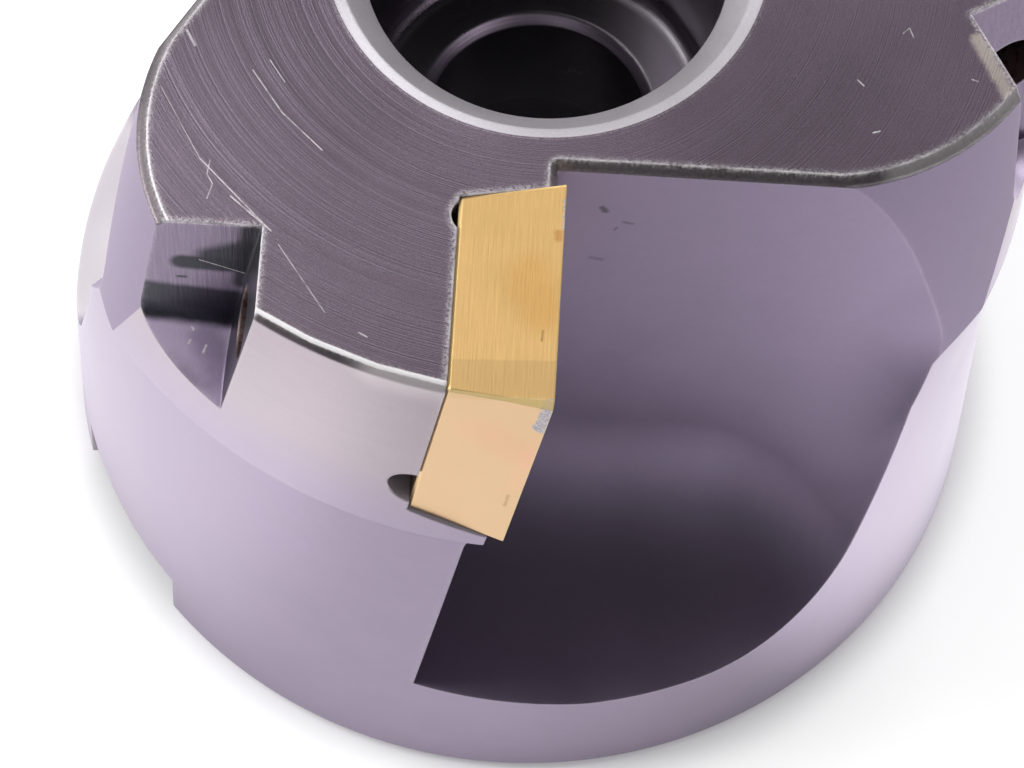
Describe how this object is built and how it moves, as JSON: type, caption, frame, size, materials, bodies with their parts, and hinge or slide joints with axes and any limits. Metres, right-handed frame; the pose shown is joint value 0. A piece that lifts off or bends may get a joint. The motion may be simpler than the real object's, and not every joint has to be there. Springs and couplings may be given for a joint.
{
  "type": "face mill",
  "caption": "Shell-mounted square-shoulder face mill: a blackened steel body with gold-coated indexable inserts, deep chip gullets and a counterbored mounting hole.",
  "frame": {"origin": "centre of the back face, on the spindle axis, where the cutter sits on its arbor", "axes": "+Z along the spindle axis from the back face towards the cutting face; the first tooth lies towards -Y and its rake face looks towards +X; X and Y follow the right hand"},
  "size_m": [0.0494, 0.0496, 0.045],
  "materials": {
    "black_oxide_steel": "blackened, turned and milled, satin",
    "gold_coated_carbide": "ground, gold-coloured coating",
    "screw_steel": "dark satin"
  },
  "bodies": {
    "root": {"cutter_body": "black_oxide_steel", "insert_1": "gold_coated_carbide", "insert_2": "gold_coated_carbide", "insert_3": "gold_coated_carbide", "insert_screw_1": "screw_steel", "insert_screw_2": "screw_steel", "insert_screw_3": "screw_steel"}
  },
  "joints": []
}
